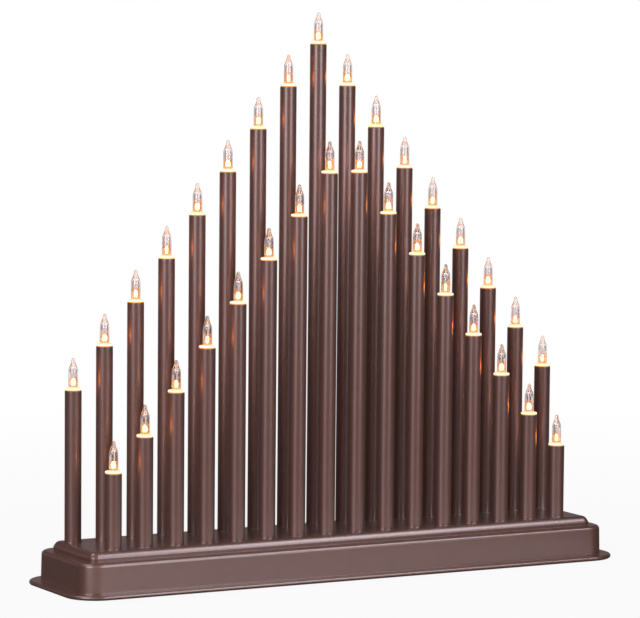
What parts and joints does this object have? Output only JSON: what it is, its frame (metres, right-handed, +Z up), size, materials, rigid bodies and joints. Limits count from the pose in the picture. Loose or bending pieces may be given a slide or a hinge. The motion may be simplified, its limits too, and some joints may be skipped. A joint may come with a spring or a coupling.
{
  "type": "advent candlestick",
  "caption": "Electric advent candlestick: a long stepped base with two rows of candle tubes that rise to the middle, each with a pointed pull-out bulb.",
  "frame": {"origin": "on the surface it stands on, under the middle of the base", "axes": "+X along the candle rows, +Y towards the taller back row, +Z up"},
  "size_m": [0.484, 0.111, 0.4412],
  "materials": {
    "base_lacquer": "satin brown metallic lacquer",
    "tube_lacquer": "satin brown metallic lacquer",
    "holder_plastic": "translucent cream, lit from inside",
    "bulb_glass": "clear, smooth",
    "lamp_metal": "fine wire",
    "lamp_base": "smooth cream",
    "lead_pvc": "matte brown",
    "bottom_plate": "fine grain black",
    "terminal_plastic": "smooth off-white",
    "bushing_plastic": "smooth dark",
    "foot_rubber": "matte",
    "screw_steel": "zinc plated"
  },
  "bodies": {
    "candlestick": {"base_housing": "base_lacquer", "bottom_plate": "bottom_plate", "terminal_block": "terminal_plastic", "cable_bushing": "bushing_plastic", "rubber_foot_1": "foot_rubber", "rubber_foot_2": "foot_rubber", "rubber_foot_3": "foot_rubber", "rubber_foot_4": "foot_rubber", "cover_screw_1": "screw_steel", "cover_screw_2": "screw_steel", "cover_screw_3": "screw_steel", "cover_screw_4": "screw_steel", "cover_screw_5": "screw_steel", "cover_screw_6": "screw_steel", "tube_bank_back_1": "tube_lacquer", "tube_bank_back_2": "tube_lacquer", "tube_bank_back_3": "tube_lacquer", "tube_bank_back_4": "tube_lacquer", "tube_bank_back_5": "tube_lacquer", "tube_bank_front_1": "tube_lacquer", "tube_bank_front_2": "tube_lacquer", "tube_bank_front_3": "tube_lacquer", "tube_bank_front_4": "tube_lacquer", "lamp_string_back": "holder_plastic", "lamp_string_front": "holder_plastic"},
    "bulb_back_01": {"bulb_back_01": "bulb_glass"},
    "bulb_back_02": {"bulb_back_02": "bulb_glass"},
    "bulb_back_03": {"bulb_back_03": "bulb_glass"},
    "bulb_back_04": {"bulb_back_04": "bulb_glass"},
    "bulb_back_05": {"bulb_back_05": "bulb_glass"},
    "bulb_back_06": {"bulb_back_06": "bulb_glass"},
    "bulb_back_07": {"bulb_back_07": "bulb_glass"},
    "bulb_back_08": {"bulb_back_08": "bulb_glass"},
    "bulb_back_09": {"bulb_back_09": "bulb_glass"},
    "bulb_back_10": {"bulb_back_10": "bulb_glass"},
    "bulb_back_11": {"bulb_back_11": "bulb_glass"},
    "bulb_back_12": {"bulb_back_12": "bulb_glass"},
    "bulb_back_13": {"bulb_back_13": "bulb_glass"},
    "bulb_back_14": {"bulb_back_14": "bulb_glass"},
    "bulb_back_15": {"bulb_back_15": "bulb_glass"},
    "bulb_back_16": {"bulb_back_16": "bulb_glass"},
    "bulb_back_17": {"bulb_back_17": "bulb_glass"},
    "bulb_front_01": {"bulb_front_01": "bulb_glass"},
    "bulb_front_02": {"bulb_front_02": "bulb_glass"},
    "bulb_front_03": {"bulb_front_03": "bulb_glass"},
    "bulb_front_04": {"bulb_front_04": "bulb_glass"},
    "bulb_front_05": {"bulb_front_05": "bulb_glass"},
    "bulb_front_06": {"bulb_front_06": "bulb_glass"},
    "bulb_front_07": {"bulb_front_07": "bulb_glass"},
    "bulb_front_08": {"bulb_front_08": "bulb_glass"},
    "bulb_front_09": {"bulb_front_09": "bulb_glass"},
    "bulb_front_10": {"bulb_front_10": "bulb_glass"},
    "bulb_front_11": {"bulb_front_11": "bulb_glass"},
    "bulb_front_12": {"bulb_front_12": "bulb_glass"},
    "bulb_front_13": {"bulb_front_13": "bulb_glass"},
    "bulb_front_14": {"bulb_front_14": "bulb_glass"},
    "bulb_front_15": {"bulb_front_15": "bulb_glass"},
    "bulb_front_16": {"bulb_front_16": "bulb_glass"}
  },
  "joints": [
    {"name": "bulb_back_01_pull", "type": "slide", "parent": "candlestick", "child": "bulb_back_01", "axis": [0, 0, 1], "range_m": [0, 0.012]},
    {"name": "bulb_back_02_pull", "type": "slide", "parent": "candlestick", "child": "bulb_back_02", "axis": [0, 0, 1], "range_m": [0, 0.012]},
    {"name": "bulb_back_03_pull", "type": "slide", "parent": "candlestick", "child": "bulb_back_03", "axis": [0, 0, 1], "range_m": [0, 0.012]},
    {"name": "bulb_back_04_pull", "type": "slide", "parent": "candlestick", "child": "bulb_back_04", "axis": [0, 0, 1], "range_m": [0, 0.012]},
    {"name": "bulb_back_05_pull", "type": "slide", "parent": "candlestick", "child": "bulb_back_05", "axis": [0, 0, 1], "range_m": [0, 0.012]},
    {"name": "bulb_back_06_pull", "type": "slide", "parent": "candlestick", "child": "bulb_back_06", "axis": [0, 0, 1], "range_m": [0, 0.012]},
    {"name": "bulb_back_07_pull", "type": "slide", "parent": "candlestick", "child": "bulb_back_07", "axis": [0, 0, 1], "range_m": [0, 0.012]},
    {"name": "bulb_back_08_pull", "type": "slide", "parent": "candlestick", "child": "bulb_back_08", "axis": [0, 0, 1], "range_m": [0, 0.012]},
    {"name": "bulb_back_09_pull", "type": "slide", "parent": "candlestick", "child": "bulb_back_09", "axis": [0, 0, 1], "range_m": [0, 0.012]},
    {"name": "bulb_back_10_pull", "type": "slide", "parent": "candlestick", "child": "bulb_back_10", "axis": [0, 0, 1], "range_m": [0, 0.012]},
    {"name": "bulb_back_11_pull", "type": "slide", "parent": "candlestick", "child": "bulb_back_11", "axis": [0, 0, 1], "range_m": [0, 0.012]},
    {"name": "bulb_back_12_pull", "type": "slide", "parent": "candlestick", "child": "bulb_back_12", "axis": [0, 0, 1], "range_m": [0, 0.012]},
    {"name": "bulb_back_13_pull", "type": "slide", "parent": "candlestick", "child": "bulb_back_13", "axis": [0, 0, 1], "range_m": [0, 0.012]},
    {"name": "bulb_back_14_pull", "type": "slide", "parent": "candlestick", "child": "bulb_back_14", "axis": [0, 0, 1], "range_m": [0, 0.012]},
    {"name": "bulb_back_15_pull", "type": "slide", "parent": "candlestick", "child": "bulb_back_15", "axis": [0, 0, 1], "range_m": [0, 0.012]},
    {"name": "bulb_back_16_pull", "type": "slide", "parent": "candlestick", "child": "bulb_back_16", "axis": [0, 0, 1], "range_m": [0, 0.012]},
    {"name": "bulb_back_17_pull", "type": "slide", "parent": "candlestick", "child": "bulb_back_17", "axis": [0, 0, 1], "range_m": [0, 0.012]},
    {"name": "bulb_front_01_pull", "type": "slide", "parent": "candlestick", "child": "bulb_front_01", "axis": [0, 0, 1], "range_m": [0, 0.012]},
    {"name": "bulb_front_02_pull", "type": "slide", "parent": "candlestick", "child": "bulb_front_02", "axis": [0, 0, 1], "range_m": [0, 0.012]},
    {"name": "bulb_front_03_pull", "type": "slide", "parent": "candlestick", "child": "bulb_front_03", "axis": [0, 0, 1], "range_m": [0, 0.012]},
    {"name": "bulb_front_04_pull", "type": "slide", "parent": "candlestick", "child": "bulb_front_04", "axis": [0, 0, 1], "range_m": [0, 0.012]},
    {"name": "bulb_front_05_pull", "type": "slide", "parent": "candlestick", "child": "bulb_front_05", "axis": [0, 0, 1], "range_m": [0, 0.012]},
    {"name": "bulb_front_06_pull", "type": "slide", "parent": "candlestick", "child": "bulb_front_06", "axis": [0, 0, 1], "range_m": [0, 0.012]},
    {"name": "bulb_front_07_pull", "type": "slide", "parent": "candlestick", "child": "bulb_front_07", "axis": [0, 0, 1], "range_m": [0, 0.012]},
    {"name": "bulb_front_08_pull", "type": "slide", "parent": "candlestick", "child": "bulb_front_08", "axis": [0, 0, 1], "range_m": [0, 0.012]},
    {"name": "bulb_front_09_pull", "type": "slide", "parent": "candlestick", "child": "bulb_front_09", "axis": [0, 0, 1], "range_m": [0, 0.012]},
    {"name": "bulb_front_10_pull", "type": "slide", "parent": "candlestick", "child": "bulb_front_10", "axis": [0, 0, 1], "range_m": [0, 0.012]},
    {"name": "bulb_front_11_pull", "type": "slide", "parent": "candlestick", "child": "bulb_front_11", "axis": [0, 0, 1], "range_m": [0, 0.012]},
    {"name": "bulb_front_12_pull", "type": "slide", "parent": "candlestick", "child": "bulb_front_12", "axis": [0, 0, 1], "range_m": [0, 0.012]},
    {"name": "bulb_front_13_pull", "type": "slide", "parent": "candlestick", "child": "bulb_front_13", "axis": [0, 0, 1], "range_m": [0, 0.012]},
    {"name": "bulb_front_14_pull", "type": "slide", "parent": "candlestick", "child": "bulb_front_14", "axis": [0, 0, 1], "range_m": [0, 0.012]},
    {"name": "bulb_front_15_pull", "type": "slide", "parent": "candlestick", "child": "bulb_front_15", "axis": [0, 0, 1], "range_m": [0, 0.012]},
    {"name": "bulb_front_16_pull", "type": "slide", "parent": "candlestick", "child": "bulb_front_16", "axis": [0, 0, 1], "range_m": [0, 0.012]}
  ]
}
